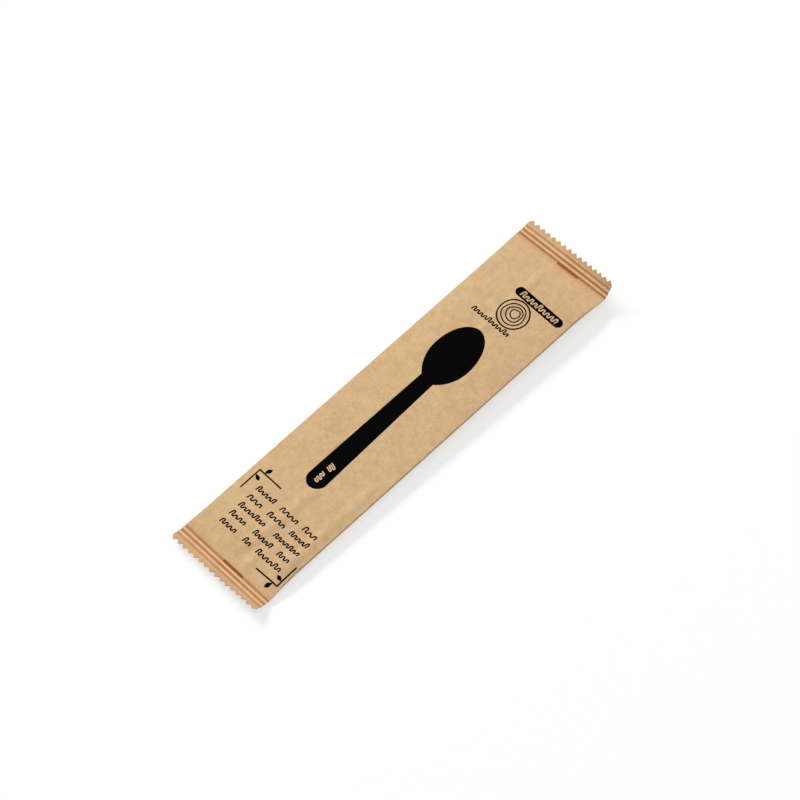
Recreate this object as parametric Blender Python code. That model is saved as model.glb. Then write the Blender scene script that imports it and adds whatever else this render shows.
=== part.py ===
"""Sealed kraft paper sachet that holds a flat wooden spoon.

One sheet of paper is wrapped into a tube. Its two long edges are joined by a fin seal that lies flat
along the back, and each end is pressed into a grooved seal with a zigzag cut. The sachet can't be seen
into, so it is one solid. It lies on its back: +X runs towards the end over the spoon's bowl, +Z is up,
and the origin is on the surface that it lies on, under its middle.
"""

import math

import bmesh
import bpy

# The paper tube, in metres
BODY_LENGTH = 0.1782          # between the inner edges of the two end seals
HANDLE_SEAL_LENGTH = 0.0092   # from its inner edge to its tooth tips
BOWL_SEAL_LENGTH = 0.0081     # the same at the bowl end
FLAT_WIDTH = 0.0449           # of the tube where it is pressed flat
PAPER = 0.00015               # one layer of paper
SIDE_DRAW = 0.00060           # how far each side draws in over the filled body

# The filled body
SIDE_WALL = 0.0015            # height of its side walls
HANDLE_CROWN = 0.0004         # how far the front's middle stands above its sides, over the handle
BOWL_CROWN = 0.0008           # the same over the spoon's bowl
CROWN_RISE_START = 0.005      # where the crown starts to grow towards the bowl, along X
CROWN_RISE_END = 0.040        # where it has reached the bowl's
HANDLE_FOLD_HEIGHT = 0.0013   # side folds and seal above the surface, at the handle end
BOWL_FOLD_HEIGHT = 0.0039     # the same at the bowl end
END_SLOPE = 0.017             # length over which each end slopes down to its seal
SLOPE_CURVE = 2.0             # power of that slope: a higher one starts steeper at the seal
BACK_FLAT_WIDTH = 0.0200      # strip of the back that lies flat
FRONT_SHOULDER = 4.0          # power of the front's curve from side to side: a higher one is boxier
BACK_SHOULDER = 3.0           # the same for the back, between its flat strip and the side folds

# The pressed seals at both ends
GROOVE_COUNT = 3
GROOVE_PITCH = 0.0021
GROOVE_DEPTH = 0.00055
GROOVE_SHARPNESS = 2.0        # power of the pressed wave: a higher one has narrower grooves
TOOTH_COUNT = 16
TOOTH_DEPTH = 0.00140
HANDLE_END_LIFTS = (0.0015, 0.0032)   # how far the tooth tips curl up at the +Y and -Y corners
BOWL_END_LIFTS = (0.0005, 0.0052)     # the same at the bowl end
LIFT_CURVE = 1.3              # power of the curl's growth from +Y to -Y
CURL_CURVE = 1.5              # power of the curl's growth from the seal's inner edge to its tips
BOWL_CORNER_TUCK = 0.0010     # how far the bowl end's raised corner is drawn in
TUCK_START = 0.3              # where that starts, as a share of the way from the middle to the corner
BOWL_SEAL_SKEW = 0.0011       # how much further out the bowl end's seal lies at -Y than at +Y

# The fin seal along the back
FIN_WIDTH = 0.0105
FIN_ROOT = 0.0019             # its fold, from the centre line towards +Y
FIN_GAP = 0.00020             # between the fin's free edge and the back panel
FIN_FOLD = 0.00030            # width of the fold at its root
GAP_OPENING = 0.25            # share of the fin's width over which the gap opens, from the fold

# Soft creases on the front: start, end, and height, which is negative for a dent
CREASE_REACH = 0.0055
CREASE_FADE = 6               # power that fades them out near the side folds
CREASES = (
    ((-0.088, -0.0195), (-0.055, -0.0140), 0.00040),
    ((-0.080, 0.0025), (-0.050, 0.0025), 0.00018),
    ((0.049, 0.0025), (0.075, 0.0025), 0.00018),
    ((-0.087, -0.0040), (-0.082, -0.0030), -0.00030),
)

PAPER_COLOUR = (0.65, 0.44, 0.235, 1.0)
PAPER_ROUGHNESS = 0.85

# Mesh resolution
ROWS_PER_GROOVE = 7
BODY_ROWS = 40
END_CROWDING = 0.3            # 0 spaces the body's rows evenly, more draws them towards the ends
COLUMN_CLEARANCE = 0.00005
SHARP_ANGLE = 35              # degrees between faces above which an edge isn't shaded smooth

# How the fin lies on the back in one row across the pack
SEALED = "sealed"             # pressed into one layer with the back
CLOSING = "closing"           # the row where its gap ends
LOOSE = "loose"               # with a gap under its free edge

# What follows from the sizes above
HALF_BODY = BODY_LENGTH / 2
HALF_FLAT = FLAT_WIDTH / 2
FIN_FREE_EDGE = FIN_ROOT - FIN_WIDTH
FIN_LAYERS = 2 * PAPER


def smooth_step(value):
    """Ease from 0 to 1."""
    value = min(max(value, 0.0), 1.0)
    return value * value * (3 - 2 * value)


def mix(start, end, share):
    return start + (end - start) * share


def fill(along):
    """0 in the seals, 1 over the filled body, with a crisp start at the seal."""
    share = min(max((HALF_BODY - abs(along)) / END_SLOPE, 0.0), 1.0)
    return 1 - (1 - share) ** SLOPE_CURVE


def fold_height(along):
    """Height of the side folds, which climb towards the thicker end."""
    share = min(max((along / HALF_BODY + 1) / 2, 0.0), 1.0)
    return mix(HANDLE_FOLD_HEIGHT, BOWL_FOLD_HEIGHT, share)


def front_crown(along):
    """How far the middle of the front panel stands above its two sides."""
    share = (along - CROWN_RISE_START) / (CROWN_RISE_END - CROWN_RISE_START)
    return mix(HANDLE_CROWN, BOWL_CROWN, smooth_step(share))


def half_width(along):
    return HALF_FLAT - SIDE_DRAW * fill(along)


def pressed_grooves(along):
    """The wave that the sealing jaws leave, which both layers follow."""
    into_seal = abs(along) - HALF_BODY
    if not 0 < into_seal < GROOVE_COUNT * GROOVE_PITCH:
        return 0.0
    wave = (1 - math.cos(2 * math.pi * into_seal / GROOVE_PITCH)) / 2
    return -GROOVE_DEPTH * wave ** GROOVE_SHARPNESS


def end_lift(along, across):
    """How far the tooth tips curl up, at one place across the pack."""
    lifts = BOWL_END_LIFTS if along > 0 else HANDLE_END_LIFTS
    return mix(*lifts, ((1 - across) / 2) ** LIFT_CURVE)


def seal_length(along):
    return BOWL_SEAL_LENGTH if along > 0 else HANDLE_SEAL_LENGTH


def crease_relief(x, y):
    """Sum of the soft creases near one point of the front."""
    relief = 0.0
    for (x0, y0), (x1, y1), height in CREASES:
        run = (x1 - x0, y1 - y0)
        share = ((x - x0) * run[0] + (y - y0) * run[1]) / (run[0] ** 2 + run[1] ** 2)
        share = min(max(share, 0.0), 1.0)
        distance = math.hypot(x - x0 - share * run[0], y - y0 - share * run[1])
        relief += height * smooth_step(1 - distance / CREASE_REACH)
    return relief


def place(along, across):
    """X and Y of a point of the sheet, and the height of the middle of its layers."""
    lift = end_lift(along, across)
    depth = max(abs(along) - HALF_BODY, 0.0) / seal_length(along)
    shortened = lift ** 2 / (2 * seal_length(along)) * depth ** 2
    x = math.copysign(abs(along) - shortened, along)
    y = across * half_width(along)
    if along > 0:
        x -= BOWL_SEAL_SKEW / 2 * across * smooth_step(1 - (HALF_BODY - along) / END_SLOPE)
        y += BOWL_CORNER_TUCK * depth * smooth_step((-across - TUCK_START) / (1 - TUCK_START))
    z = fold_height(along) + lift * depth ** CURL_CURVE + pressed_grooves(along)
    return x, y, z


def front_point(along, across):
    x, y, z = place(along, across)
    bulge = 1 - abs(across) ** FRONT_SHOULDER
    relief = crease_relief(x, y) * (1 - across ** CREASE_FADE)
    return x, y, z + PAPER + (SIDE_WALL + front_crown(along) * bulge + relief) * fill(along)


def back_point(along, across, below=0.0):
    """A point of the back panel, or of the fin that lies below it."""
    x, y, z = place(along, across)
    drop = fold_height(along) - PAPER - FIN_GAP - FIN_LAYERS
    flat = BACK_FLAT_WIDTH / FLAT_WIDTH
    bulge = 1 - max((abs(across) - flat) / (1 - flat), 0.0) ** BACK_SHOULDER
    return x, y, z - PAPER - drop * bulge * fill(along) - below


def cut_edge(across, end):
    """Where the zigzag cut ends the sheet, at one place across it. The end is -1 or 1."""
    phase = (across + 1) / 2 * TOOTH_COUNT
    below_tip = abs(2 * (phase % 1.0) - 1)
    return end * (HALF_BODY + seal_length(end) - TOOTH_DEPTH * below_tip)


def sheet_columns():
    """Places across the sheet: every tooth's tip and valley, and the fin's edge and fold."""
    fin_lines = [FIN_FREE_EDGE / HALF_FLAT, FIN_ROOT / HALF_FLAT, (FIN_ROOT + FIN_FOLD) / HALF_FLAT]
    clearance = COLUMN_CLEARANCE / HALF_FLAT
    columns = list(fin_lines)
    for index in range(2 * TOOTH_COUNT + 1):
        across = index / TOOTH_COUNT - 1
        if min(abs(across - line) for line in fin_lines) > clearance:
            columns.append(across)
    columns.sort()
    return columns, columns.index(fin_lines[0]), columns.index(fin_lines[1])


def seal_rows():
    """Distances of the rows of one seal, outwards from its inner edge."""
    count = GROOVE_COUNT * ROWS_PER_GROOVE
    return [HALF_BODY + GROOVE_PITCH * index / ROWS_PER_GROOVE for index in range(count + 1)]


def body_rows():
    """Rows between the two seals, without the seals' own first rows."""
    rows = []
    for index in range(1, BODY_ROWS):
        share = 2 * index / BODY_ROWS - 1
        rows.append(HALF_BODY * share * (1 + END_CROWDING * (1 - share ** 2)))
    return rows


def make_row(bm, alongs, columns, free, root, fin):
    """Vertices of one row across the pack: its front, its back and its fin.

    The fin's free edge and its fold are the columns numbered free and root.
    """
    front = [bm.verts.new(front_point(a, c)) for a, c in zip(alongs, columns)]
    panel = {}
    for index, (along, across) in enumerate(zip(alongs, columns)):
        if fin != SEALED or not free < index <= root:
            panel[index] = bm.verts.new(back_point(along, across))
    fin_top = []
    fin_under = []
    for index in range(free, root + 1):
        gap = FIN_GAP * fill(alongs[index])
        under = back_point(alongs[index], columns[index], gap + FIN_LAYERS)
        fin_under.append(bm.verts.new(under))
        if fin == LOOSE and index < root:
            from_fold = (columns[root] - columns[index]) / (columns[root] - columns[free])
            top = back_point(alongs[index], columns[index], gap * min(from_fold / GAP_OPENING, 1.0))
            fin_top.append(bm.verts.new(top))
        elif fin != SEALED or index == free:
            fin_top.append(panel[index])
    last = len(columns) - 1
    return {
        "front": front,
        "near_back": [panel[index] for index in range(free + 1)],
        "over_fin": [panel[index] for index in range(free, root + 1)] if fin != SEALED else [],
        "fin_top": fin_top,
        "fin_and_back": [fin_top[0]] + fin_under + [panel[index] for index in range(root + 1, last + 1)],
        "near_side": [front[0], panel[0]],
        "far_side": [front[last], panel[last]],
    }


def bridge(bm, line_a, line_b):
    """Quads between two lines of vertices, or triangles where they share a vertex."""
    for index in range(len(line_a) - 1):
        corners = [line_a[index], line_a[index + 1], line_b[index + 1], line_b[index]]
        distinct = list(dict.fromkeys(corners))
        if len(distinct) > 2:
            bm.faces.new(distinct)


def close_end(bm, row, free):
    """The cut edge of the paper, with the step at the fin's free edge."""
    front = row["front"]
    near = row["near_back"]
    far = row["fin_and_back"][1:]
    bridge(bm, front[:free + 1], near)
    bm.faces.new((front[free], front[free + 1], near[free]))
    bm.faces.new((near[free], front[free + 1], far[1], far[0]))
    bridge(bm, front[free + 1:], far[1:])


def build_sachet(bm):
    columns, free, root = sheet_columns()
    rows = []

    def add(alongs, fin):
        rows.append(make_row(bm, alongs, columns, free, root, fin))

    outer = seal_rows()
    add([cut_edge(across, -1) for across in columns], SEALED)
    for along in reversed(outer[1:]):
        add([-along] * len(columns), SEALED)
    add([-outer[0]] * len(columns), CLOSING)
    for along in body_rows():
        add([along] * len(columns), LOOSE)
    add([outer[0]] * len(columns), CLOSING)
    for along in outer[1:]:
        add([along] * len(columns), SEALED)
    add([cut_edge(across, 1) for across in columns], SEALED)

    for row, following in zip(rows, rows[1:]):
        for part in ("front", "near_back", "fin_and_back", "near_side", "far_side"):
            bridge(bm, row[part], following[part])
        if row["over_fin"] and following["over_fin"]:
            bridge(bm, row["over_fin"], following["over_fin"])
            bridge(bm, row["fin_top"], following["fin_top"])
    close_end(bm, rows[0], free)
    close_end(bm, rows[-1], free)


def centre_on_base(bm):
    """Put the origin under the middle, on the surface that the pack lies on."""
    lows = [min(vert.co[axis] for vert in bm.verts) for axis in range(3)]
    highs = [max(vert.co[axis] for vert in bm.verts) for axis in range(3)]
    shift = (-(lows[0] + highs[0]) / 2, -(lows[1] + highs[1]) / 2, -lows[2])
    bmesh.ops.translate(bm, vec=shift, verts=bm.verts)


def kraft_paper():
    material = bpy.data.materials.new("kraft_paper")
    material.use_nodes = True
    shader = material.node_tree.nodes["Principled BSDF"]
    shader.inputs["Base Color"].default_value = PAPER_COLOUR
    shader.inputs["Roughness"].default_value = PAPER_ROUGHNESS
    shader.inputs["Metallic"].default_value = 0.0
    return material


def main():
    for old in list(bpy.data.objects):
        bpy.data.objects.remove(old, do_unlink=True)
    bm = bmesh.new()
    build_sachet(bm)
    bmesh.ops.recalc_face_normals(bm, faces=bm.faces)
    centre_on_base(bm)
    mesh = bpy.data.meshes.new("spoon_sachet")
    bm.to_mesh(mesh)
    bm.free()
    mesh.shade_smooth()
    mesh.set_sharp_from_angle(angle=math.radians(SHARP_ANGLE))
    mesh.materials.append(kraft_paper())
    sachet = bpy.data.objects.new("spoon_sachet", mesh)
    bpy.context.scene.collection.objects.link(sachet)


main()
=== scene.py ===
"""Looks of a sealed kraft paper sachet that lies flat, with a spoon printed on its front.

The sheet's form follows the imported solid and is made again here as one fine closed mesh, so that the
grooved seals, the cut teeth, the fin seal on the back and the edges of the print come out sharp. Points
of the sheet are given as (along, across): metres along the pack from the middle of its body, and -1 to
1 between its two side folds, from the near one at -Y to the far one. Lengths are in metres, apart from
those of the print.
"""

import math
from collections import Counter

import bmesh
import bpy
import numpy as np
from mathutils import Matrix, Vector
from mathutils.geometry import delaunay_2d_cdt

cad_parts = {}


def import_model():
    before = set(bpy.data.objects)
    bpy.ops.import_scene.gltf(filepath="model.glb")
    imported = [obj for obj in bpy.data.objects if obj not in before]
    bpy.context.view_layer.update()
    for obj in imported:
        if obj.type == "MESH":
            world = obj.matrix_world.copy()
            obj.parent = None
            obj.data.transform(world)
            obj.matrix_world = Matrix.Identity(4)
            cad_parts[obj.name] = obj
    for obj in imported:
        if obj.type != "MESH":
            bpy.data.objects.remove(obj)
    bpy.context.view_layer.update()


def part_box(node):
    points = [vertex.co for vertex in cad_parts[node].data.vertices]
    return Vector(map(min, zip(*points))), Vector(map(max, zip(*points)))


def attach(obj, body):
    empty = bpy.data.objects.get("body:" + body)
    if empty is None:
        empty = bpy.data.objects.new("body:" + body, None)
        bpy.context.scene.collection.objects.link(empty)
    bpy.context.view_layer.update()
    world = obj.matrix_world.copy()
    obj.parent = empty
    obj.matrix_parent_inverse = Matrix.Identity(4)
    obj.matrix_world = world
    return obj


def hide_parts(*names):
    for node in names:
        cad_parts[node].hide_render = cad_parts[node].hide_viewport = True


MM = 0.001

# The paper tube and its filled body
BODY_LENGTH = 0.1782
HANDLE_SEAL_LENGTH = 0.0092
BOWL_SEAL_LENGTH = 0.0081
FLAT_WIDTH = 0.0449
PAPER = 0.00015                  # thickness of one layer
SIDE_DRAW = 0.00060              # how far the filling draws in each side
SIDE_WALL = 0.0015
HANDLE_CROWN = 0.00025
BOWL_CROWN = 0.00050
CROWN_RISE_START = 0.005
CROWN_RISE_END = 0.040
HANDLE_FOLD_HEIGHT = 0.0013      # of the side folds above the base, at each end of the body
BOWL_FOLD_HEIGHT = 0.0039
END_SLOPE = 0.017                # length over which the body rises from a seal
BACK_FLAT_WIDTH = 0.0200
FRONT_SHOULDER = 4.0             # powers of the section's curve: a higher one is boxier
BACK_SHOULDER = 3.0

# The pressed seals
GROOVE_COUNT = 3
HANDLE_GROOVE_START = 0.00035    # from the end of the body to the first groove
BOWL_GROOVE_START = 0.00005
HANDLE_GROOVE_PITCH = 0.00212
BOWL_GROOVE_PITCH = 0.00188
GROOVE_DEPTH = 0.00055
GROOVE_SHARPNESS = 2.0
GROOVE_STRENGTHS = (1.0, 1.0, 0.65)
RIDGE_HIGHLIGHT_STRENGTHS = (1.0, 1.0, 0.35)   # of the painted highlight on the crest outside each groove
TOOTH_COUNT = 16
TOOTH_DEPTH = 0.00140
TOOTH_WEAR = 0.06 * MM           # how unevenly the teeth are cut
TOOTH_WEAR_RATE = 2.4            # radians from one tooth to the next
HANDLE_END_LIFTS = (0.0015, 0.0032)  # of the cut edge at its far and its near corner
BOWL_END_LIFTS = (0.0005, 0.0052)
LIFT_CURVE = 1.3                 # power of the lift's rise from the far to the near corner
CURL_CURVE = 1.5                 # power of its rise from the body to the cut edge
BOWL_CORNER_TUCK = 0.0010        # how far the bowl end's lifted corner is drawn in
TUCK_START = 0.3                 # where this starts, from the middle of the width to the near fold
BOWL_SEAL_SKEW = 0.0011          # how much further the bowl end reaches at its near side
BOWL_GROOVE_LEAN = 0.0010        # how much more than the cut edge the bowl end's grooves lean

# The fin seal along the back
FIN_WIDTH = 0.0105
FIN_ROOT = 0.0019
FIN_GAP = 0.00020
FIN_FOLD = 0.00030
GAP_OPENING = 0.25               # share of the fin's width over which the gap above it opens
RIPPLE_HEIGHT = 0.00006          # of the waves along the fin's free edge, where it isn't pressed down
RIPPLE_RATE = 260.0              # radians a metre
RIPPLE_ABOVE = 0.9               # how much of them the fin's upper side has

# Soft creases on the front: start, end, reach to either side, and height, which is negative for a dent
CREASES = (
    ((-0.0880, -0.0185), (-0.0740, -0.0185), 0.0070, 0.00080),
    ((-0.0740, -0.0183), (-0.0300, -0.0180), 0.0034, 0.00038),
    ((-0.0800, -0.0010), (-0.0460, -0.0027), 0.0038, 0.00036),
    ((0.0450, 0.0014), (0.0800, 0.0020), 0.0030, 0.00028),
    ((-0.0885, -0.0022), (-0.0815, -0.0024), 0.0038, -0.00065),
    ((-0.0880, -0.0062), (-0.0820, -0.0062), 0.0022, 0.00030),
)

# Slight unevenness of the paper
WAVE_HEIGHT = 0.00005
RELIEF_FADE = 6                  # power with which waves and creases fade out at the side folds
FOLD_ROUND = 0.00006             # how far a side fold's round edge stands out in the seals
WALL_ROUND = 0.00020             # how far a side wall bows out over the filled body
WALL_CURVE = 0.7                 # power of its bow: a lower one is boxier

# Marks of the sealing jaws, and painted light on the seals: a streak over the fin that is burnished paper
# with painted shade of the deeper crease there, toasted paper next to a seal, and painted highlights on the
# crests
STREAK_HALF_LENGTH = 0.00085
STREAK_EDGE = 1.5                # a higher one gives a crisper streak
HANDLE_STREAK_PLACE = 0.00125    # from the end of the body
BOWL_STREAK_PLACE = 0.00062
HANDLE_TOAST = 0.4
BOWL_TOAST = 1.0
TOAST_REACH = 0.0020
TOAST_CURVE = 1.5
RIDGE_HIGHLIGHT_REACH = 0.35               # of a crest's painted highlight to either side, in groove pitches
SEAL_BLUR = 0.5 * MM
FIN_ROOT_BLUR = 0.8 * MM
FIN_EDGE_BLUR = 1.2 * MM

# The print, in millimetres along the flat tube from the middle of its body, and across it
SPOON_END_CENTRE = (-42.45, 0.353)
SPOON_END_RADIUS = 4.543
SPOON_NECK_LOWER = (16.6, -2.41)
SPOON_NECK_UPPER = (16.6, 4.47)
SPOON_BOWL_START = 15.4          # where the bowl's curve would start without the handle
SPOON_NECK = 17.3
SPOON_WIDEST = 30.5
SPOON_TIP = 46.15
SPOON_HALF_WIDTH = 9.56
SPOON_MIDDLE = 0.99              # across, at its widest place
SPOON_LEAN = 0.025               # slope of the bowl's middle line
SPOON_NECK_CURVE = 0.62          # power of its swell from the neck: a lower one is fuller
BRACKETS = (
    ((-65.1, 19.31), (-55.0, 19.31), (-55.15, 7.5)),
    ((-84.4, -10.1), (-84.15, -21.0), (-74.15, -21.38)),
)
BRACKET_PEN = 0.66
LEAVES = (
    ((-57.2, 19.2), (-58.65, 16.0), 1.7),
    ((-55.1, 16.9), (-51.75, 15.4), 1.8),
    ((-84.3, -18.9), (-87.65, -17.1), 1.8),
    ((-81.8, -21.1), (-81.0, -18.1), 1.7),
)
LEAF_SWELL = 1.25                # a higher one moves a leaf's widest place towards its tip
LOG_CENTRE = (60.2, -2.9)
BARK_RADIUS = 6.6
BARK_PEN = 0.68
BARK_WOBBLE = 0.05
RING_RADII = (4.9, 3.4, 2.0)
RING_PEN = 0.55
RING_WOBBLE = 0.12
RING_DRIFT = (0.18, -0.12)       # of a ring's middle, for each millimetre that its radius is smaller
RING_LOBES = ((3, 1.0, 1.0), (5, 0.6, 2.3))  # number of lobes, share of the wobble, turn with the seed
BAR_LINE = ((69.4, 2.4), (69.6, -18.2))
BAR_PEN = 4.2

# Scribbles. A style is a height, a pen width, a pitch, and how much taller every fourth stroke is
WORD_STYLE = (1.25, 0.64, 1.95, 1.55)
WORD_ROWS = (
    ((14.2, 5.2), (1.1, -7.5), (-11.2, -17.7)),
    ((14.2, 7.5), (3.2, -5.2), (-8.8, -17.7)),
    ((14.2, 0.8), (-5.1, -17.8)),
    ((14.2, 6.6), (1.5, -7.5), (-11.7, -17.2)),
    ((14.5, 7.0), (2.1, -1.1), (-5.0, -17.3)),
)
FIRST_ROW = -61.8                # place of the first row along the pack, at its start
ROW_START = 14
ROW_PITCH = 4.64
ROW_TILT = 0.0145
CAPTION_LINE = ((51.0, 11.0), (51.3, -7.8))
CAPTION_STYLE = (1.25, 0.62, 1.85, 1.45)
BARE_SCRIBBLES = (
    ((-34.1, 1.2), (-36.5, 1.2), (2.3, 0.54, 1.4, 1.0)),
    ((-39.0, 1.2), (-43.2, 1.2), (1.7, 0.54, 1.4, 1.0)),
    ((68.4, 1.4), (68.6, -17.2), (1.6, 0.58, 2.0, 1.35)),
)
SCRIBBLE_SLANT = 0.25
SCRIBBLE_UNEVEN = 0.10
UNEVEN_RATE = 2.7                # radians from one stroke to the next
UNEVEN_SHIFT = 40                # radians for each millimetre of length, so that no two are alike
TALL_EVERY = 4

# Fineness of the mesh and of the print's outlines
COLUMNS_PER_TOOTH = 6
ROWS_PER_GROOVE = 16
TOOTH_ROWS = 8
BODY_ROWS = 220
WALL_STEPS = 5
COLUMN_CLEARANCE = 0.1 * MM      # columns nearer than this to the fin's edges are left out
PRINT_CLEARANCE = 0.14           # grid points nearer than this to the print's edges, in millimetres, too
CAP_POINTS = 7
STRAIGHT_POINTS = 4
LEAF_POINTS = 11
RING_POINTS = 72
SPOON_END_POINTS = 17
SPOON_NECK_POINTS = 13
SPOON_TIP_POINTS = 15
HALF_TURN = np.radians(np.linspace(0, 180, 9))   # angles of a scribble's half circles
ROUNDING = 1e-9                  # metres that come from rounding alone

# The triangulation of the front
SHEET_FACE = 0                   # the outline of the whole panel comes first among those that are cut
INSIDE_TRIANGLES = 1             # kind of result: triangles inside the outlines
SAME_POINT = 1e-5                # millimetres between points that are taken as one

# Colours, which are linear, and the tints that the paper's colour is multiplied by
PAPER_COLOUR = (0.695, 0.476, 0.264, 1)
FIBRE_COLOUR = (0.76, 0.56, 0.34, 1)
# painted highlight along the crests between the seal's grooves
RIDGE_HIGHLIGHT_COLOUR = (0.87, 0.53, 0.28, 1)
# grooves: darker pressed paper, with painted shade in their depth
PRESSED_AND_SHADED_GROOVE_COLOUR = (0.44, 0.20, 0.070, 1)
# streak over the fin: burnished paper with painted shade of the deeper crease
BURNISH_AND_CREASE_SHADE_COLOUR = (0.31, 0.095, 0.012, 1)
INK_COLOURS = ((0.0008, 0.0005, 0.0006, 1), (0.0018, 0.0012, 0.0012, 1))
WHITE = (1.0, 1.0, 1.0, 1)
WARM_TINT = (1.02, 0.965, 0.94, 1)
PALE_TINT = (1.01, 1.02, 0.93, 1)
MOTTLE_TINT = (0.86, 0.845, 0.82, 1)
GRAIN_TINT = (0.90, 0.89, 0.87, 1)
TOAST_TINT = (1.0, 0.84, 0.72, 1)
SEAL_TINT = (0.94, 0.87, 0.85, 1)
# darker grooves over the fin: pressed paper with painted shade of the deeper pressing
PRESSED_AND_SHADED_FIN_TINT = (0.86, 0.84, 0.80, 1)

# Noise in the paper and the ink: its scale, and between which of its values an effect comes in
WARM_SCALE = 38.0
PALE_SCALE = 55.0
PALE_SHIFT = (7.0, 7.0, 7.0)     # sets the pale patches apart from the warm ones
MOTTLE_SCALE = 330.0
GRAIN_SCALE = 1300.0
FIBRES = ((7.0, 24, 620.0), (8.0, -38, 540.0))   # stretch across them, their angle and their scale
INK_SCALE = 900.0
WARM_RANGE = (0.40, 0.65)
PALE_RANGE = (0.42, 0.68)
SPECK_RANGE = (0.35, 0.70)
FIBRE_RANGE = (0.56, 0.78)
INK_RANGE = (0.40, 0.75)
WHOLE_RANGE = (0.3, 0.7)
FIBRE_STRENGTH = 0.6
# the noise's range over the grooves' pressed tone and painted shade
GROOVE_MARK_VARIATION = (0.75, 1.0)
# the noise's range over the crests' painted highlight
RIDGE_HIGHLIGHT_VARIATION = (1.0, 0.6)

# Surface
PAPER_ROUGHNESS = (0.72, 0.9)
PAPER_SHINE = 0.25
INK_ROUGHNESS = (0.55, 0.7)
INK_SHINE = 0.02
BUMP_STRENGTH = 0.35
BUMP_DISTANCE = 0.12 * MM
FIBRE_BUMP = 0.6
MOTTLE_BUMP = 0.8
SHARP_ANGLE = 50                 # degrees between faces from which an edge is shaded sharp
PAPER_MATERIAL = 0
INK_MATERIAL = 1

# The map that textures are baked on: the margin at its left, and the lower edges of front and back
MAP_MARGIN = 0.01
FRONT_STRIP = 0.02
BACK_STRIP = 0.52

# The camera: degrees, metres and millimetres of lens
CAMERA_AZIMUTH = -44.96
CAMERA_ELEVATION = 61.86
CAMERA_DISTANCE = 1.483
CAMERA_LENS = 174.73
CAMERA_SENSOR = 36
CAMERA_SHIFT = (0.00429, 0.01901)
CAMERA_CLIP = 0.05

# The floor and the lights, in metres, degrees and watts. Together they light the floor to white
FLOOR_REACH = 4.0
FLOOR_GLOW = 0.62                # share of the floor's white that no shadow takes away
WORLD_STRENGTH = 0.24
CEILING_POWER = 19.5
CEILING_DISTANCE = 2.0
CEILING_SIZE = (2.7, 2.7)
CEILING_AZIMUTH = 0
CEILING_ELEVATION = 89.9
WINDOW_POWER = 610.0
WINDOW_DISTANCE = 8.0
WINDOW_SIZE = (4.8, 1.5)
WINDOW_AZIMUTH = 170
WINDOW_ELEVATION = 31

HALF_BODY = BODY_LENGTH / 2
HALF_FLAT = FLAT_WIDTH / 2
FIN_FREE_EDGE = FIN_ROOT - FIN_WIDTH
FIN_LAYERS = 2 * PAPER


def smooth_step(value):
    value = np.clip(value, 0.0, 1.0)
    return value * value * (3 - 2 * value)


def soft_edge(inside, blur):
    """0 outside an edge, 1 inside it, with a soft band between them that is as wide as the blur."""
    return smooth_step(inside / blur + 0.5)


def mix(start, end, share):
    return start + (end - start) * share


def fill(along):
    """0 in the seals, 1 over the filled body, with a crisp start at the seal."""
    share = np.clip((HALF_BODY - np.abs(along)) / END_SLOPE, 0.0, 1.0)
    return 1 - (1 - share) ** 2


def fold_height(along):
    share = np.clip((along / HALF_BODY + 1) / 2, 0.0, 1.0)
    return mix(HANDLE_FOLD_HEIGHT, BOWL_FOLD_HEIGHT, share)


def front_crown(along):
    """How far the middle of the front panel stands above its two sides."""
    share = (along - CROWN_RISE_START) / (CROWN_RISE_END - CROWN_RISE_START)
    return mix(HANDLE_CROWN, BOWL_CROWN, smooth_step(share))


def half_width(along):
    return HALF_FLAT - SIDE_DRAW * fill(along)


def groove_phase(along):
    """Where a place lies among the grooves of its end, in pitches from the start of the first."""
    start = np.where(along > 0, BOWL_GROOVE_START, HANDLE_GROOVE_START)
    pitch = np.where(along > 0, BOWL_GROOVE_PITCH, HANDLE_GROOVE_PITCH)
    return (np.abs(along) - HALF_BODY - start) / pitch


def groove_wave(along):
    """The groove's strength at the middle of each pressed groove, 0 between them and outside the seals."""
    phase = groove_phase(along)
    inside = (phase > 0) & (phase < GROOVE_COUNT)
    strength = np.array(GROOVE_STRENGTHS)[np.clip(phase, 0, GROOVE_COUNT - 1).astype(int)]
    wave = (1 - np.cos(2 * math.pi * phase)) / 2
    return np.where(inside, strength * wave ** GROOVE_SHARPNESS, 0.0)


def seal_length(along):
    return np.where(along > 0, BOWL_SEAL_LENGTH, HANDLE_SEAL_LENGTH)


def end_lift(along, across):
    share = ((1 - across) / 2) ** LIFT_CURVE
    return np.where(along > 0, mix(*BOWL_END_LIFTS, share), mix(*HANDLE_END_LIFTS, share))


def crease_relief(x, y):
    relief = np.zeros_like(x)
    for (x0, y0), (x1, y1), reach, height in CREASES:
        run = (x1 - x0, y1 - y0)
        share = ((x - x0) * run[0] + (y - y0) * run[1]) / (run[0] ** 2 + run[1] ** 2)
        share = np.clip(share, 0.0, 1.0)
        distance = np.hypot(x - x0 - share * run[0], y - y0 - share * run[1])
        relief += height * smooth_step(1 - distance / reach)
    return relief


def paper_waves(x, y):
    """Low, soft unevenness of thin paper over a stiff filling. The rates are in radians a metre."""
    waves = np.sin(x * 190 + 1.1 * np.sin(y * 160 + 0.6))
    waves = waves + 0.8 * np.sin(x * 83 - y * 240 + 2.0)
    waves = waves + 0.6 * np.sin(x * 310 + y * 130 + 4.1 + np.sin(x * 70))
    return WAVE_HEIGHT * waves


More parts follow.
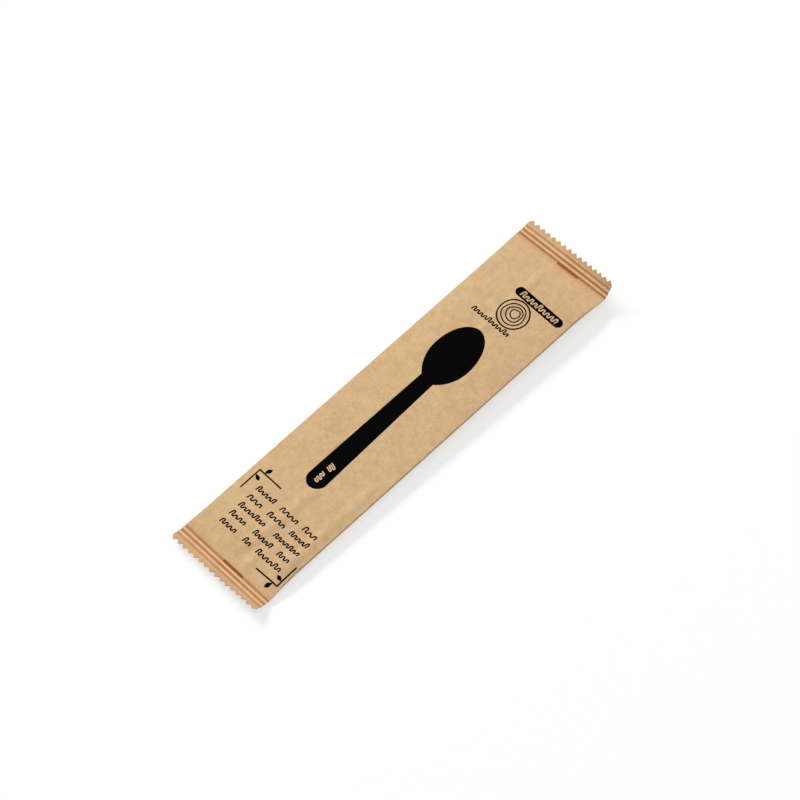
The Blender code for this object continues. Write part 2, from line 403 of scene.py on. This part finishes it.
def place(along, across):
    """X and Y of points of the sheet, and the height of the middle of its layers."""
    lift = end_lift(along, across)
    depth = np.maximum(np.abs(along) - HALF_BODY, 0.0) / seal_length(along)
    shortened = lift ** 2 / (2 * seal_length(along)) * depth ** 2
    near_bowl_end = smooth_step(1 - (HALF_BODY - along) / END_SLOPE)
    skew = (BOWL_SEAL_SKEW + BOWL_GROOVE_LEAN * (1 - depth)) / 2
    x = along - np.sign(along) * shortened - skew * across * near_bowl_end
    tuck = BOWL_CORNER_TUCK * depth * smooth_step((-across - TUCK_START) / (1 - TUCK_START))
    y = across * (half_width(along) - WALL_ROUND * fill(along)) + np.where(along > 0, tuck, 0.0)
    z = fold_height(along) + lift * depth ** CURL_CURVE - GROOVE_DEPTH * groove_wave(along)
    return x, y, z


def front_points(along, across):
    x, y, z = place(along, across)
    bulge = 1 - np.abs(across) ** FRONT_SHOULDER
    relief = (crease_relief(x, y) + paper_waves(x, y)) * (1 - across ** RELIEF_FADE)
    z = z + PAPER + (SIDE_WALL + front_crown(along) * bulge + relief) * fill(along)
    return np.stack([x, y, z], axis=-1)


def back_points(along, across, below=0.0):
    x, y, z = place(along, across)
    drop = fold_height(along) - PAPER - FIN_GAP - FIN_LAYERS
    flat = BACK_FLAT_WIDTH / FLAT_WIDTH
    bulge = 1 - np.maximum((np.abs(across) - flat) / (1 - flat), 0.0) ** BACK_SHOULDER
    z = z - PAPER - drop * bulge * fill(along) - below
    return np.stack([x, y, z], axis=-1)


def cut_edge(across, end):
    """Where the zigzag cut ends the sheet. Each tooth is cut a little differently."""
    phase = (across + 1) / 2 * TOOTH_COUNT
    below_tip = np.abs(2 * (phase % 1.0) - 1)
    wear = TOOTH_WEAR * np.sin(phase.round() * TOOTH_WEAR_RATE + end)
    return end * (HALF_BODY + seal_length(end) - TOOTH_DEPTH * below_tip + wear)


def grid_rows(columns):
    """Every row of the mesh as its along values across the columns, from one cut edge to the other."""
    steps = np.arange(GROOVE_COUNT * ROWS_PER_GROOVE + 1) / ROWS_PER_GROOVE
    handle_end = -HALF_BODY - np.append(0, HANDLE_GROOVE_START + HANDLE_GROOVE_PITCH * steps)
    bowl_end = HALF_BODY + np.append(0, BOWL_GROOVE_START + BOWL_GROOVE_PITCH * steps)
    body = np.linspace(-HALF_BODY, HALF_BODY, BODY_ROWS + 1)[1:-1]
    shares = np.arange(1, TOOTH_ROWS + 1) / TOOTH_ROWS
    rows = [mix(handle_end[-1], cut_edge(columns, -1), share) for share in shares[::-1]]
    rows += [along * np.ones_like(columns) for along in (*handle_end[::-1], *body, *bowl_end)]
    rows += [mix(bowl_end[-1], cut_edge(columns, 1), share) for share in shares]
    return np.array(rows)


def sheet_columns():
    """Places across the sheet, and which of them are the fin's free edge and its fold."""
    fin_lines = np.array([FIN_FREE_EDGE, FIN_ROOT, FIN_ROOT + FIN_FOLD]) / HALF_FLAT
    even = np.linspace(-1, 1, TOOTH_COUNT * COLUMNS_PER_TOOTH + 1)
    apart = np.abs(even[:, None] - fin_lines[None, :]).min(axis=1) > COLUMN_CLEARANCE / HALF_FLAT
    columns = np.sort(np.concatenate([even[apart], fin_lines]))
    free, root = (int(np.argmin(abs(columns - line))) for line in fin_lines[:2])
    return columns, free, root


def arc(centre, radius, start, end, count):
    """Points on a circle, with the angles in degrees."""
    angles = np.radians(np.linspace(start, end, count))
    return np.stack([centre[0] + radius * np.cos(angles), centre[1] + radius * np.sin(angles)], axis=-1)


def stroke(line, width):
    """The outline of a line drawn with a round pen."""
    line = np.asarray(line, dtype=float)
    step = np.gradient(line, axis=0)
    step /= np.linalg.norm(step, axis=1)[:, None]
    side = np.stack([-step[:, 1], step[:, 0]], axis=-1) * width / 2
    first = math.degrees(math.atan2(side[0, 1], side[0, 0]))
    last = math.degrees(math.atan2(-side[-1, 1], -side[-1, 0]))
    start_cap = arc(line[0], width / 2, first, first + 180, CAP_POINTS)[1:-1]
    end_cap = arc(line[-1], width / 2, last, last + 180, CAP_POINTS)[1:-1]
    return np.concatenate([(line + side)[::-1], start_cap, line - side, end_cap])


# Each shape of the print is a list of outlines. A second one inside the first is a hole


def straight(start, end, width):
    return [stroke(np.linspace(start, end, STRAIGHT_POINTS), width)]


def half_circle(middle, base, radius, up):
    """Points from left to right over the middle, or under it where up is -1."""
    return [(middle - radius * math.cos(turn), base + up * radius * math.sin(turn)) for turn in HALF_TURN]


def scribble_line(length, height, pitch, tall):
    """Up and down strokes joined by half circles, as points forward and upward from the start."""
    crests = max(int(round(length / pitch)), 1)
    radius = length / (4 * crests - 2)
    line = [(0.0, 0.0)]
    for crest in range(crests):
        uneven = 1 + SCRIBBLE_UNEVEN * math.sin(UNEVEN_RATE * crest + UNEVEN_SHIFT * length)
        top = height * uneven * (tall if crest % TALL_EVERY == 0 else 1)
        middle = 4 * crest * radius + radius
        line += half_circle(middle, top - radius, radius, 1)
        if crest < crests - 1:
            line += half_circle(middle + 2 * radius, radius, radius, -1)
    line.append((length, 0.0))
    return np.array(line)


def scribble(start, end, height, width, pitch, tall):
    """A slanted row of plain strokes on a line from start to end."""
    start = np.asarray(start, dtype=float)
    run = np.asarray(end, dtype=float) - start
    length = np.linalg.norm(run)
    forward = run / length
    upward = np.array([-forward[1], forward[0]])
    line = scribble_line(length, height, pitch, tall)
    slanted = line[:, :1] + SCRIBBLE_SLANT * line[:, 1:]
    return [stroke(start + slanted * forward + line[:, 1:] * upward, width)]


def leaf(base, tip, width):
    """A leaf from its stalk to its tip."""
    base, tip = np.asarray(base, dtype=float), np.asarray(tip, dtype=float)
    run = tip - base
    side = np.array([-run[1], run[0]]) / np.linalg.norm(run) * width / 2
    shares = np.linspace(0, 1, LEAF_POINTS)
    swell = np.sin(math.pi * shares ** LEAF_SWELL)
    upper = base + shares[:, None] * run + swell[:, None] * side
    lower = base + shares[:, None] * run - swell[:, None] * side
    return [np.concatenate([upper, lower[-2:0:-1]])]


def growth_ring(centre, radius, width, wobble, seed):
    """A closed line like one of a tree's growth rings."""
    angles = np.linspace(0, 2 * math.pi, RING_POINTS + 1)[:-1]
    directions = np.stack([np.cos(angles), np.sin(angles)], axis=-1)
    uneven = sum(share * np.sin(lobes * angles + turn * seed) for lobes, share, turn in RING_LOBES)
    reaches = [radius + edge + wobble * uneven for edge in (width / 2, -width / 2)]
    return [np.array(centre) + reach[:, None] * directions for reach in reaches]


def spoon_outline():
    """A plain spoon seen from above: round handle end, tapered handle, egg-shaped bowl."""
    handle_end = arc(SPOON_END_CENTRE, SPOON_END_RADIUS, 90, 270, SPOON_END_POINTS)
    to_widest = np.linspace(SPOON_NECK, SPOON_WIDEST, SPOON_NECK_POINTS)[:-1]
    before = np.clip((SPOON_WIDEST - to_widest) / (SPOON_WIDEST - SPOON_BOWL_START), 0, 1)
    angles = np.linspace(0, math.pi / 2, SPOON_TIP_POINTS)
    to_tip = SPOON_WIDEST + (SPOON_TIP - SPOON_WIDEST) * np.sin(angles)
    halves = SPOON_HALF_WIDTH * np.append((1 - before ** 2) ** SPOON_NECK_CURVE, np.cos(angles))
    xs = np.append(to_widest, to_tip)
    middles = SPOON_MIDDLE + SPOON_LEAN * (xs - SPOON_WIDEST)
    lower = np.stack([xs, middles - halves], axis=-1)
    upper = np.stack([xs, middles + halves], axis=-1)[::-1][1:]
    return [np.concatenate([handle_end, [SPOON_NECK_LOWER], lower, upper, [SPOON_NECK_UPPER]])]


def word_rows():
    """Rows of scribbles that run across the pack. Each is given by its ends across the pack."""
    shapes = []
    for number, words in enumerate(WORD_ROWS):
        for word in words:
            line = [(FIRST_ROW - ROW_PITCH * number + ROW_TILT * (ROW_START - y), y) for y in word]
            shapes.append(scribble(*line, *WORD_STYLE))
    return shapes


def corner_brackets():
    shapes = []
    for outer, corner, inner in BRACKETS:
        shapes += [straight(outer, corner, BRACKET_PEN), straight(corner, inner, BRACKET_PEN)]
    return shapes + [leaf(base, tip, width) for base, tip, width in LEAVES]


def roundel():
    """Growth rings of a cut log, with a plain bar and a scribble beside them."""
    shapes = [growth_ring(LOG_CENTRE, BARK_RADIUS, BARK_PEN, BARK_WOBBLE, seed=1.0)]
    for index, radius in enumerate(RING_RADII):
        centre = np.array(LOG_CENTRE) + (RING_RADII[0] - radius) * np.array(RING_DRIFT)
        shapes.append(growth_ring(centre, radius, RING_PEN, RING_WOBBLE, seed=2.0 + index))
    shapes.append(straight(*BAR_LINE, BAR_PEN))
    shapes.append(scribble(*CAPTION_LINE, *CAPTION_STYLE))
    return shapes


def bare_marks():
    """Paper left bare inside the spoon's handle and inside the bar."""
    return [scribble(start, end, *style) for start, end, style in BARE_SCRIBBLES]


def counter_clockwise(loop):
    x, y = loop[:, 0], loop[:, 1]
    area = np.sum(x * np.roll(y, -1) - np.roll(x, -1) * y) / 2
    return loop if area > 0 else loop[::-1]


def clear_of(points, loops):
    """Which points lie clear of every edge of the print."""
    clear = np.ones(len(points), dtype=bool)
    for loop in loops:
        low, high = loop.min(axis=0) - PRINT_CLEARANCE, loop.max(axis=0) + PRINT_CLEARANCE
        near = np.all((points > low) & (points < high), axis=1)
        chosen = np.flatnonzero(near & clear)
        for start, end in zip(loop, np.roll(loop, -1, axis=0)):
            run = end - start
            share = np.clip((points[chosen] - start) @ run / (run @ run), 0, 1)
            distance = np.linalg.norm(points[chosen] - start - share[:, None] * run, axis=1)
            clear[chosen[distance < PRINT_CLEARANCE]] = False
    return clear


def is_inked(covering, owners, inked_count):
    """Whether a triangle lies in an inked shape, outside its hole and outside every bare mark."""
    tally = Counter(owners[face] for face in covering if face != SHEET_FACE)
    covered = [number for number, times in tally.items() if times % 2]
    return bool(covered) and all(number < inked_count for number in covered)


def triangulate(points, outlines):
    """Triangles inside the sheet's outline, cut along the others.

    Returns the points, the triangles with the outlines around each, and where each given point went.
    """
    made, _, faces, old_points, _, coverings = delaunay_2d_cdt(
        [Vector(point) for point in points], [], outlines, INSIDE_TRIANGLES, SAME_POINT, True
    )
    triangles = [(face, covering) for face, covering in zip(faces, coverings) if SHEET_FACE in covering]
    moved = {old: new for new, olds in enumerate(old_points) for old in olds}
    return np.array([point[:] for point in made]), triangles, moved


def triangulate_front(rows, columns):
    """Triangles of the front panel, cut along the print, and which of them are inked.

    Returns the points, the triangles, the inked flags, and the points along each side of the panel.
    """
    flat = np.stack([rows, np.broadcast_to(columns * HALF_FLAT, rows.shape)], axis=-1).reshape(-1, 2) / MM
    index = np.arange(len(flat)).reshape(rows.shape)
    border = np.concatenate([index[0], index[1:, -1], index[-1, -2::-1], index[-2:0:-1, 0]])[::-1]
    inked = [spoon_outline()] + word_rows() + corner_brackets() + roundel()
    shapes = inked + bare_marks()
    loops = [counter_clockwise(loop) for shape in shapes for loop in shape]
    owners = [None] + [number for number, shape in enumerate(shapes) for _ in shape]
    keep = clear_of(flat, loops)
    keep[border] = True
    new_place = np.cumsum(keep) - 1
    outlines = [new_place[border].tolist()]
    used = int(keep.sum())
    for loop in loops:
        outlines.append(list(range(used, used + len(loop))))
        used += len(loop)
    placed, covered, moved = triangulate(np.concatenate([flat[keep]] + loops), outlines)
    triangles = [triangle for triangle, _ in covered]
    flags = [is_inked(covering, owners, len(inked)) for _, covering in covered]
    sides = {"first": index[0], "last": index[-1], "near": index[:, 0], "far": index[:, -1]}
    sides = {name: [moved[int(new_place[i])] for i in side] for name, side in sides.items()}
    return placed * MM, triangles, flags, sides


def add_points(bm, alongs, acrosses, points):
    """Vertices that remember their place on the sheet."""
    verts = []
    for along, across, point in zip(alongs, acrosses, points):
        vert = bm.verts.new(point)
        vert[bm.verts.layers.float["along"]] = along
        vert[bm.verts.layers.float["across"]] = across
        verts.append(vert)
    return verts


def bridge(bm, line_a, line_b):
    """Quads between two lines of vertices, or triangles where they share a vertex."""
    for index in range(len(line_a) - 1):
        corners = [line_a[index], line_a[index + 1], line_b[index + 1], line_b[index]]
        distinct = list(dict.fromkeys(corners))
        if len(distinct) > 2:
            bm.faces.new(distinct)


def build_front(bm, rows, columns):
    """The printed front panel. Returns the vertices along its four sides."""
    placed, triangles, flags, sides = triangulate_front(rows, columns)
    alongs, acrosses = placed[:, 0], np.clip(placed[:, 1] / HALF_FLAT, -1, 1)
    verts = add_points(bm, alongs, acrosses, front_points(alongs, acrosses))
    for triangle, ink in zip(triangles, flags):
        face = bm.faces.new([verts[i] for i in triangle])
        face.material_index = INK_MATERIAL if ink else PAPER_MATERIAL
    return {name: [verts[i] for i in side] for name, side in sides.items()}


def row_kind(along):
    """Whether the fin hangs open below the back at a row, closes up there, or is sealed to it."""
    past_body = abs(along) - HALF_BODY
    if past_body < -ROUNDING:
        return "open"
    return "closing" if past_body < ROUNDING else "sealed"


def back_row(bm, alongs, columns, free, root, kind):
    """Vertices of one row of the back panel and of the fin below it."""
    kept = np.ones(len(columns), dtype=bool)
    kept[free + 1:root + 1] = kind != "sealed"
    made = add_points(bm, alongs[kept], columns[kept], back_points(alongs, columns)[kept])
    panel = dict(zip(np.flatnonzero(kept), made))
    panel = [panel.get(index) for index in range(len(columns))]
    fin = alongs[free:root + 1], columns[free:root + 1]
    gap = FIN_GAP * fill(fin[0])
    from_fold = (columns[root] - fin[1]) / (columns[root] - columns[free])
    ripple = RIPPLE_HEIGHT * (1 + np.sin(fin[0] * RIPPLE_RATE)) * from_fold ** 2 * fill(fin[0])
    fin_under = add_points(bm, *fin, back_points(*fin, gap + FIN_LAYERS - ripple))
    if kind == "open":
        under_gap = gap * np.minimum(from_fold / GAP_OPENING, 1.0) - RIPPLE_ABOVE * ripple
        fin_top = add_points(bm, *fin, back_points(*fin, under_gap)[:-1]) + [panel[root]]
    elif kind == "closing":
        fin_top = panel[free:root + 1]
    else:
        fin_top = [panel[free]]
    return {
        "near_back": panel[:free + 1],
        "over_fin": panel[free:root + 1] if kind != "sealed" else [],
        "fin_top": fin_top,
        "fin_and_back": [fin_top[0]] + fin_under + panel[root + 1:],
        "panel": panel,
    }


def build_back(bm, rows, columns, free, root):
    """The back panel and the fin. Returns the vertices of each row."""
    backs = []
    for along, alongs in zip(rows.mean(axis=1), rows):
        backs.append(back_row(bm, alongs, columns, free, root, row_kind(along)))
    for row, following in zip(backs, backs[1:]):
        bridge(bm, row["near_back"], following["near_back"])
        bridge(bm, row["fin_and_back"], following["fin_and_back"])
        if row["over_fin"] and following["over_fin"]:
            bridge(bm, row["over_fin"], following["over_fin"])
            bridge(bm, row["fin_top"], following["fin_top"])
    return backs


def close_end(bm, front, row, free):
    """The cut edge of the paper, with the step at the fin's free edge."""
    near = row["near_back"]
    far = row["fin_and_back"][1:]
    bridge(bm, front[:free + 1], near)
    bm.faces.new((front[free], front[free + 1], near[free]))
    bm.faces.new((near[free], front[free + 1], far[1], far[0]))
    bridge(bm, front[free + 1:], far[1:])


def build_side_wall(bm, front_edge, back_edge, alongs, outward):
    """The rounded side between the front's edge and the back's. Outward is -1 or 1, along Y."""
    tops = np.array([vert.co[:] for vert in front_edge])
    bottoms = np.array([vert.co[:] for vert in back_edge])
    bow = outward * mix(FOLD_ROUND, WALL_ROUND, fill(alongs))
    lines = [front_edge]
    for share in np.arange(1, WALL_STEPS) / WALL_STEPS:
        points = mix(tops, bottoms, share)
        points[:, 1] += bow * math.sin(math.pi * share) ** WALL_CURVE
        lines.append(add_points(bm, alongs, np.full(len(alongs), outward), points))
    lines.append(back_edge)
    for line, following in zip(lines, lines[1:]):
        bridge(bm, line, following)
    for end in (0, -1):
        bm.faces.new([line[end] for line in lines])


def build_sachet():
    """One closed mesh: printed front, back, fin, rounded side folds and cut ends."""
    bm = bmesh.new()
    for name in ("along", "across"):
        bm.verts.layers.float.new(name)
    columns, free, root = sheet_columns()
    rows = grid_rows(columns)
    sides = build_front(bm, rows, columns)
    backs = build_back(bm, rows, columns, free, root)
    for side, column, outward in (("near", 0, -1), ("far", -1, 1)):
        back_edge = [row["panel"][column] for row in backs]
        build_side_wall(bm, sides[side], back_edge, rows[:, column], outward)
    close_end(bm, sides["first"], backs[0], free)
    close_end(bm, sides["last"], backs[-1], free)
    bmesh.ops.recalc_face_normals(bm, faces=bm.faces)
    return bm


def centre_on_base(bm, low, high):
    """Seat the mesh on the floor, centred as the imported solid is."""
    coordinates = np.array([vert.co[:] for vert in bm.verts])
    lows, highs = coordinates.min(axis=0), coordinates.max(axis=0)
    shift = (np.array(low) + np.array(high)) / 2 - (lows + highs) / 2
    shift[2] = low[2] - lows[2]
    bmesh.ops.translate(bm, vec=Vector(shift), verts=bm.verts)


def add_masks(mesh):
    """Vertex masks for the paper, from each point's place on the sheet."""
    along, across = np.empty(len(mesh.vertices)), np.empty(len(mesh.vertices))
    mesh.attributes["along"].data.foreach_get("value", along)
    mesh.attributes["across"].data.foreach_get("value", across)
    into_seal = np.abs(along) - HALF_BODY
    phase = groove_phase(along)
    nearest = np.clip(phase.round(), 1, GROOVE_COUNT).astype(int)
    # painted highlight along each crest between the grooves
    ridge_highlight = smooth_step(1 - np.abs(phase - nearest) / RIDGE_HIGHLIGHT_REACH)
    y = across * HALF_FLAT
    over_fin = soft_edge(FIN_ROOT - y, FIN_ROOT_BLUR) * soft_edge(y - FIN_FREE_EDGE, FIN_EDGE_BLUR)
    from_streak = into_seal - np.where(along > 0, BOWL_STREAK_PLACE, HANDLE_STREAK_PLACE)
    toast = np.where(along > 0, BOWL_TOAST, HANDLE_TOAST)
    masks = {
        "seal": soft_edge(into_seal, SEAL_BLUR),
        "groove": groove_wave(along),
        "ridge_highlight": ridge_highlight * np.array(RIDGE_HIGHLIGHT_STRENGTHS)[nearest - 1],
        "over_fin": over_fin,
        # burnished paper with painted shade of the deeper crease over the fin
        "streak": over_fin * smooth_step(STREAK_EDGE * (1 - np.abs(from_streak) / STREAK_HALF_LENGTH)),
        "toast": toast * np.clip(1 + into_seal / TOAST_REACH, 0, 1) ** TOAST_CURVE,
    }
    for name, values in masks.items():
        attribute = mesh.attributes.new(name, "FLOAT", "POINT")
        attribute.data.foreach_set("value", values.astype(np.float32))


def unwrap(mesh, low, high):
    """Lay the front and the back side by side on one map, at one scale."""
    layer = mesh.uv_layers.new(name="OFBake")
    scale = (1 - 2 * MAP_MARGIN) / (high[0] - low[0])
    for polygon in mesh.polygons:
        base = FRONT_STRIP if polygon.normal.z > 0 else BACK_STRIP
        for loop in polygon.loop_indices:
            x, y, _ = mesh.vertices[mesh.loops[loop].vertex_index].co
            layer.data[loop].uv = (MAP_MARGIN + (x - low[0]) * scale, base + (y - low[1]) * scale)


class Nodes:
    """Short ways to add shader nodes to one material."""

    def __init__(self, name):
        self.material = bpy.data.materials.new(name)
        self.material.use_nodes = True
        self.tree = self.material.node_tree
        self.shader = self.tree.nodes["Principled BSDF"]

    def feed(self, socket, value):
        """Sets an input to a value, or links it to another node's output."""
        if isinstance(value, bpy.types.NodeSocket):
            self.tree.links.new(value, socket)
        else:
            socket.default_value = value

    def add(self, kind, **values):
        """A new node. Each value goes to the input of that name, or else to the node's own setting."""
        node = self.tree.nodes.new(kind)
        for key, value in values.items():
            if key in node.inputs:
                self.feed(node.inputs[key], value)
            else:
                setattr(node, key, value)
        return node

    def where(self):
        """Places on the object itself, in metres."""
        return self.add("ShaderNodeTexCoord").outputs["Object"]

    def attribute(self, name):
        return self.add("ShaderNodeAttribute", attribute_name=name).outputs["Fac"]

    def mapping(self, vector, **values):
        return self.add("ShaderNodeMapping", Vector=vector, **values).outputs["Vector"]

    def noise(self, vector, scale, detail=3.0, roughness=0.5):
        node = self.add("ShaderNodeTexNoise", Vector=vector, Scale=scale, Detail=detail, Roughness=roughness)
        return node.outputs["Fac"]

    def remap(self, value, source, target=(0.0, 1.0)):
        """Brings the values between the source's two to those between the target's two."""
        node = self.add("ShaderNodeMapRange", Value=value)
        for end, low_or_high in enumerate(("Min", "Max")):
            node.inputs["From " + low_or_high].default_value = source[end]
            node.inputs["To " + low_or_high].default_value = target[end]
        return node.outputs["Result"]

    def math(self, operation, first, second):
        node = self.add("ShaderNodeMath", operation=operation)
        self.feed(node.inputs[0], first)
        self.feed(node.inputs[1], second)
        return node.outputs["Value"]

    def blend(self, share, first, second, kind="MIX"):
        """Mixes two colours. The node has these at its inputs 6 and 7 and its output 2."""
        node = self.add("ShaderNodeMix", data_type="RGBA", blend_type=kind)
        for number, value in ((0, share), (6, first), (7, second)):
            self.feed(node.inputs[number], value)
        return node.outputs[2]

    def finish(self, colour, roughness, shine):
        self.feed(self.shader.inputs["Base Color"], colour)
        self.feed(self.shader.inputs["Roughness"], roughness)
        self.feed(self.shader.inputs["Specular IOR Level"], shine)
        return self.material


def fibre_noise(nodes, where):
    """Long pale fibres that lie in two directions."""
    layers = []
    for stretch, angle, scale in FIBRES:
        rotation = (0, 0, math.radians(angle))
        vector = nodes.mapping(where, Scale=(1.0, stretch, 1.0), Rotation=rotation)
        layers.append(nodes.noise(vector, scale, roughness=0.65))
    return nodes.math("MAXIMUM", *layers)


def sheet_colour(nodes, where, mottle, fibres):
    """The colour of bare paper, with its soft patches, specks and fibres."""
    warm = nodes.noise(where, WARM_SCALE, detail=2.0)
    pale = nodes.noise(nodes.mapping(where, Location=PALE_SHIFT), PALE_SCALE, detail=2.0)
    grain = nodes.noise(where, GRAIN_SCALE, detail=2.0, roughness=0.6)
    colour = nodes.blend(nodes.remap(warm, WARM_RANGE), PAPER_COLOUR, WARM_TINT, "MULTIPLY")
    colour = nodes.blend(nodes.remap(pale, PALE_RANGE), colour, PALE_TINT, "MULTIPLY")
    colour = nodes.blend(nodes.remap(mottle, SPECK_RANGE), colour, MOTTLE_TINT, "MULTIPLY")
    colour = nodes.blend(nodes.remap(grain, SPECK_RANGE), colour, GRAIN_TINT, "MULTIPLY")
    return nodes.blend(nodes.remap(fibres, FIBRE_RANGE, (0.0, FIBRE_STRENGTH)), colour, FIBRE_COLOUR)


def seal_marks_and_painted_light(nodes, colour, mottle):
    """The paper's colour with the marks that the sealing jaws leave, and with painted light: a painted
    highlight on the crests, and painted shade in the grooves and in the streak over the fin.
    """
    seal = nodes.attribute("seal")
    # pressed tone and painted shade in each groove
    groove = nodes.math("MULTIPLY", nodes.attribute("groove"), nodes.remap(mottle, WHOLE_RANGE, GROOVE_MARK_VARIATION))
    # painted highlight on the crests
    ridge_highlight = nodes.math("MULTIPLY", nodes.attribute("ridge_highlight"), nodes.remap(mottle, WHOLE_RANGE, RIDGE_HIGHLIGHT_VARIATION))
    toast = nodes.math("SUBTRACT", nodes.attribute("toast"), seal)
    # pressed tone and painted shade in the grooves over the fin
    pressed_and_shaded_fin = nodes.math("MULTIPLY", nodes.attribute("over_fin"), groove)
    colour = nodes.blend(nodes.math("MAXIMUM", toast, 0.0), colour, TOAST_TINT, "MULTIPLY")
    colour = nodes.blend(seal, colour, SEAL_TINT, "MULTIPLY")
    colour = nodes.blend(ridge_highlight, colour, RIDGE_HIGHLIGHT_COLOUR)
    colour = nodes.blend(groove, colour, PRESSED_AND_SHADED_GROOVE_COLOUR)
    colour = nodes.blend(pressed_and_shaded_fin, colour, PRESSED_AND_SHADED_FIN_TINT, "MULTIPLY")
    # the streak: burnished paper with painted crease shade
    return nodes.blend(nodes.attribute("streak"), colour, BURNISH_AND_CREASE_SHADE_COLOUR)


def kraft_paper():
    nodes = Nodes("kraft_paper")
    where = nodes.where()
    mottle = nodes.noise(where, MOTTLE_SCALE, detail=4.0, roughness=0.65)
    fibres = fibre_noise(nodes, where)
    raised_fibres = nodes.math("MULTIPLY", fibres, FIBRE_BUMP)
    relief = nodes.math("ADD", raised_fibres, nodes.math("MULTIPLY", mottle, MOTTLE_BUMP))
    bump = nodes.add("ShaderNodeBump", Strength=BUMP_STRENGTH, Distance=BUMP_DISTANCE, Height=relief)
    nodes.feed(nodes.shader.inputs["Normal"], bump.outputs["Normal"])
    colour = seal_marks_and_painted_light(nodes, sheet_colour(nodes, where, mottle, fibres), mottle)
    return nodes.finish(colour, nodes.remap(mottle, WHOLE_RANGE, PAPER_ROUGHNESS), PAPER_SHINE)


def black_ink():
    nodes = Nodes("black_ink")
    grain = nodes.noise(nodes.where(), INK_SCALE)
    colour = nodes.blend(nodes.remap(grain, INK_RANGE), *INK_COLOURS)
    return nodes.finish(colour, nodes.remap(grain, WHOLE_RANGE, INK_ROUGHNESS), INK_SHINE)


def white_floor():
    """Matt white that takes shadows, with an even glow that only the camera sees."""
    nodes = Nodes("white_floor")
    nodes.tree.nodes.remove(nodes.shader)
    diffuse = nodes.add("ShaderNodeBsdfDiffuse", Color=WHITE)
    glow = nodes.add("ShaderNodeEmission", Strength=1.0)
    seen = nodes.add("ShaderNodeLightPath").outputs["Is Camera Ray"]
    mixed = nodes.add("ShaderNodeMixShader")
    layers = (nodes.math("MULTIPLY", seen, FLOOR_GLOW), diffuse.outputs["BSDF"], glow.outputs["Emission"])
    for socket, value in zip(mixed.inputs, layers):
        nodes.feed(socket, value)
    nodes.feed(nodes.tree.nodes["Material Output"].inputs["Surface"], mixed.outputs["Shader"])
    return nodes.material


def make_sachet():
    low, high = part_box("spoon_sachet")
    bm = build_sachet()
    centre_on_base(bm, low, high)
    mesh = bpy.data.meshes.new("paper_sachet")
    bm.to_mesh(mesh)
    bm.free()
    add_masks(mesh)
    unwrap(mesh, low, high)
    mesh.shade_smooth()
    mesh.set_sharp_from_angle(angle=math.radians(SHARP_ANGLE))
    mesh.materials.append(kraft_paper())
    mesh.materials.append(black_ink())
    sachet = bpy.data.objects.new("paper_sachet", mesh)
    bpy.context.scene.collection.objects.link(sachet)
    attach(sachet, "root")
    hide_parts("spoon_sachet")


def make_floor():
    bm = bmesh.new()
    bmesh.ops.create_grid(bm, x_segments=1, y_segments=1, size=FLOOR_REACH)
    mesh = bpy.data.meshes.new("floor")
    bm.to_mesh(mesh)
    bm.free()
    mesh.materials.append(white_floor())
    floor = bpy.data.objects.new("floor", mesh)
    bpy.context.scene.collection.objects.link(floor)


def look_from(azimuth, elevation):
    """The direction from the origin to a viewer, and the viewer's rotation. Azimuth 0 looks along +Y."""
    a, e = math.radians(azimuth), math.radians(elevation)
    back = Vector((math.sin(a) * math.cos(e), -math.cos(a) * math.cos(e), math.sin(e)))
    right = Vector((math.cos(a), math.sin(a), 0))
    up = back.cross(right)
    return back, Matrix((right, up, back)).transposed()


def make_camera():
    back, turn = look_from(CAMERA_AZIMUTH, CAMERA_ELEVATION)
    data = bpy.data.cameras.new("camera")
    data.sensor_width = CAMERA_SENSOR
    data.lens = CAMERA_LENS
    data.shift_x, data.shift_y = CAMERA_SHIFT
    data.clip_start = CAMERA_CLIP
    camera = bpy.data.objects.new("camera", data)
    camera.matrix_world = Matrix.Translation(back * CAMERA_DISTANCE) @ turn.to_4x4()
    bpy.context.scene.collection.objects.link(camera)
    bpy.context.scene.camera = camera


def make_light(name, azimuth, elevation, distance, size, power):
    """A flat rectangular lamp that faces the pack, with its width and height in metres."""
    back, turn = look_from(azimuth, elevation)
    data = bpy.data.lights.new(name, "AREA")
    data.shape = "RECTANGLE"
    data.size, data.size_y = size
    data.energy = power
    light = bpy.data.objects.new(name, data)
    light.matrix_world = Matrix.Translation(back * distance) @ turn.to_4x4()
    bpy.context.scene.collection.objects.link(light)


def make_lighting():
    world = bpy.data.worlds.new("studio")
    world.use_nodes = True
    background = world.node_tree.nodes["Background"]
    background.inputs["Color"].default_value = WHITE
    background.inputs["Strength"].default_value = WORLD_STRENGTH
    bpy.context.scene.world = world
    make_light("ceiling", CEILING_AZIMUTH, CEILING_ELEVATION, CEILING_DISTANCE, CEILING_SIZE, CEILING_POWER)
    make_light("window", WINDOW_AZIMUTH, WINDOW_ELEVATION, WINDOW_DISTANCE, WINDOW_SIZE, WINDOW_POWER)


def main():
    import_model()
    make_camera()
    make_floor()
    make_lighting()
    make_sachet()
    bpy.context.scene.view_settings.view_transform = "Standard"


main()
